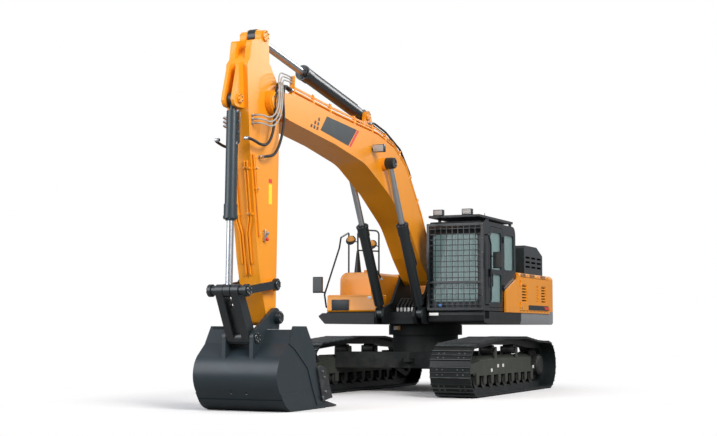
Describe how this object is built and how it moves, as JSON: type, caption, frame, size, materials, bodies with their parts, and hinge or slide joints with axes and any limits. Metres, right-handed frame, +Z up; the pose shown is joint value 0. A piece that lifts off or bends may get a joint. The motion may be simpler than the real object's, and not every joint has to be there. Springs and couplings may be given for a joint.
{
  "type": "crawler excavator",
  "caption": "Crawler excavator with a cranked boom, upright arm and a flat-bottomed digging bucket, guarded cab and wide triple-bar track shoes.",
  "frame": {"origin": "on the ground under the slew axis, midway between the tracks", "axes": "+X forward to the bucket, +Y to the machine's left (cab) side, +Z up"},
  "size_m": [11.4608, 3.7596, 5.7247],
  "materials": {
    "body_orange": "semi-gloss orange paint",
    "frame_black": "satin black paint",
    "track_steel": "rolled dark steel",
    "frame_olive": "satin dark grey-olive paint",
    "rod_chrome": "polished hard chrome",
    "cab_glass": "clear, slightly teal",
    "seat_fabric": "woven dark cloth",
    "engine_grey": "grey primer",
    "hose_rubber": "matte black rubber"
  },
  "bodies": {
    "undercarriage": {"center_frame": "frame_black", "slew_ring": "frame_black", "track_frame_left": "frame_olive", "track_frame_right": "frame_olive", "track_left": "track_steel", "track_right": "track_steel", "idler_left": "frame_olive", "idler_right": "frame_olive", "sprocket_left": "frame_olive", "sprocket_right": "frame_olive", "track_rollers_left": "frame_olive", "track_rollers_right": "frame_olive"},
    "upper": {"platform": "frame_black", "side_skirts": "frame_black", "counterweight": "body_orange", "cab_shell": "frame_black", "cab_glass": "cab_glass", "seat_console": "seat_fabric", "front_guard": "frame_black", "roof_guard": "frame_black", "left_housing": "body_orange", "right_housing": "body_orange", "deck_cover": "body_orange", "intake_box": "frame_black", "engine_block": "engine_grey", "fuel_tank": "body_orange", "toolbox": "body_orange", "handrails": "frame_black", "exhaust_stack": "frame_black", "mirrors": "frame_black", "control_valve": "engine_grey", "foot_hoses": "hose_rubber"},
    "cab_door": {"cab_door": "frame_black", "door_glass": "cab_glass"},
    "left_side_door": {"left_side_door": "body_orange"},
    "right_side_door": {"right_side_door": "body_orange"},
    "engine_hood": {"engine_hood": "body_orange"},
    "toolbox_lid": {"toolbox_lid": "body_orange"},
    "boom": {"boom": "body_orange", "boom_pipes": "body_orange", "work_lamp": "frame_black", "gear_hoses": "hose_rubber"},
    "lift_barrel_left": {"lift_barrel_left": "frame_black"},
    "lift_barrel_right": {"lift_barrel_right": "frame_black"},
    "lift_rod_left": {"lift_rod_left": "rod_chrome"},
    "lift_rod_right": {"lift_rod_right": "rod_chrome"},
    "crowd_barrel": {"crowd_barrel": "frame_black"},
    "crowd_rod": {"crowd_rod": "rod_chrome"},
    "arm": {"arm": "body_orange"},
    "curl_barrel": {"curl_barrel": "frame_black"},
    "curl_rod": {"curl_rod": "rod_chrome"},
    "rocker_links": {"rocker_links": "frame_black"},
    "bucket_link": {"bucket_link": "frame_black"},
    "bucket": {"bucket": "frame_olive", "bucket_teeth": "frame_olive"}
  },
  "joints": [
    {"name": "swing", "type": "hinge", "parent": "undercarriage", "child": "upper", "pos_m": [0, 0, 1.285], "axis": [0, 0, 1], "continuous": true},
    {"name": "boom_lift", "type": "hinge", "parent": "upper", "child": "boom", "pos_m": [0.33, 0, 2.2], "axis": [0, -1, 0], "range_deg": [-50, 33]},
    {"name": "arm_crowd", "type": "hinge", "parent": "boom", "child": "arm", "pos_m": [6.78, 0, 4.62], "axis": [0, 1, 0], "range_deg": [-75, 32]},
    {"name": "bucket_curl", "type": "hinge", "parent": "arm", "child": "bucket", "pos_m": [6.68, 0, 1.37], "axis": [0, 1, 0], "range_deg": [-60, 98]},
    {"name": "lift_barrel_left_pivot", "type": "hinge", "parent": "upper", "child": "lift_barrel_left", "pos_m": [1.25, 0.4, 1.5], "axis": [0, -1, 0], "range_deg": [-50.1, 33.07]},
    {"name": "lift_barrel_right_pivot", "type": "hinge", "parent": "upper", "child": "lift_barrel_right", "pos_m": [1.25, -0.4, 1.5], "axis": [0, -1, 0], "range_deg": [-50.1, 33.07]},
    {"name": "lift_rod_left_slide", "type": "slide", "parent": "lift_barrel_left", "child": "lift_rod_left", "axis": [0.4851, 0, 0.8745], "range_m": [-0.9356, 0.6175]},
    {"name": "lift_rod_right_slide", "type": "slide", "parent": "lift_barrel_right", "child": "lift_rod_right", "axis": [0.4851, 0, 0.8745], "range_m": [-0.9356, 0.6175]},
    {"name": "crowd_barrel_pivot", "type": "hinge", "parent": "boom", "child": "crowd_barrel", "pos_m": [3.05, 0, 4.98], "axis": [0, 1, 0], "range_deg": [-1.05, 0.45]},
    {"name": "crowd_rod_slide", "type": "slide", "parent": "crowd_barrel", "child": "crowd_rod", "axis": [0.9876, 0, 0.157], "range_m": [-1.0624, 0.4533]},
    {"name": "curl_barrel_pivot", "type": "hinge", "parent": "arm", "child": "curl_barrel", "pos_m": [7.58, 0, 4.55], "axis": [0, 1, 0], "range_deg": [-4.21, 6.87]},
    {"name": "curl_rod_slide", "type": "slide", "parent": "curl_barrel", "child": "curl_rod", "axis": [0.0214, 0, -0.9998], "range_m": [-0.5561, 0.9083]},
    {"name": "rocker_pivot", "type": "hinge", "parent": "arm", "child": "rocker_links", "pos_m": [6.76, 0, 1.86], "axis": [0, 1, 0], "range_deg": [-44.25, 72.27]},
    {"name": "bucket_link_pivot", "type": "hinge", "parent": "bucket", "child": "bucket_link", "pos_m": [7.27, 0, 1.07], "axis": [0, 1, 0], "range_deg": [-61.77, 37.82]},
    {"name": "cab_door_hinge", "type": "hinge", "parent": "upper", "child": "cab_door", "pos_m": [-0.06, 1.604, 2.4], "axis": [0, 0, 1], "range_deg": [0, 120]},
    {"name": "left_side_door_hinge", "type": "hinge", "parent": "upper", "child": "left_side_door", "pos_m": [-0.976, 1.654, 1.9], "axis": [0, 0, -1], "range_deg": [0, 110]},
    {"name": "right_side_door_hinge", "type": "hinge", "parent": "upper", "child": "right_side_door", "pos_m": [-0.976, -1.654, 1.9], "axis": [0, 0, 1], "range_deg": [0, 110]},
    {"name": "engine_hood_hinge", "type": "hinge", "parent": "upper", "child": "engine_hood", "pos_m": [-1.557, 0, 2.364], "axis": [0, 1, 0], "range_deg": [0, 70]},
    {"name": "toolbox_lid_hinge", "type": "hinge", "parent": "upper", "child": "toolbox_lid", "pos_m": [0.616, 0, 1.816], "axis": [0, -1, 0], "range_deg": [0, 80]}
  ],
  "couplings": [
    {"joint": "lift_barrel_left_pivot", "follows": "boom_lift", "ratio": 1},
    {"joint": "lift_barrel_right_pivot", "follows": "boom_lift", "ratio": 1},
    {"joint": "lift_rod_left_slide", "follows": "boom_lift", "m_per_rad": 1.07},
    {"joint": "lift_rod_right_slide", "follows": "boom_lift", "m_per_rad": 1.07},
    {"joint": "crowd_barrel_pivot", "follows": "arm_crowd", "ratio": 0.014},
    {"joint": "crowd_rod_slide", "follows": "arm_crowd", "m_per_rad": 0.81},
    {"joint": "curl_barrel_pivot", "follows": "bucket_curl", "ratio": 0.07},
    {"joint": "curl_rod_slide", "follows": "bucket_curl", "m_per_rad": 0.53},
    {"joint": "rocker_pivot", "follows": "bucket_curl", "ratio": 0.736},
    {"joint": "bucket_link_pivot", "follows": "bucket_curl", "ratio": -0.629}
  ]
}
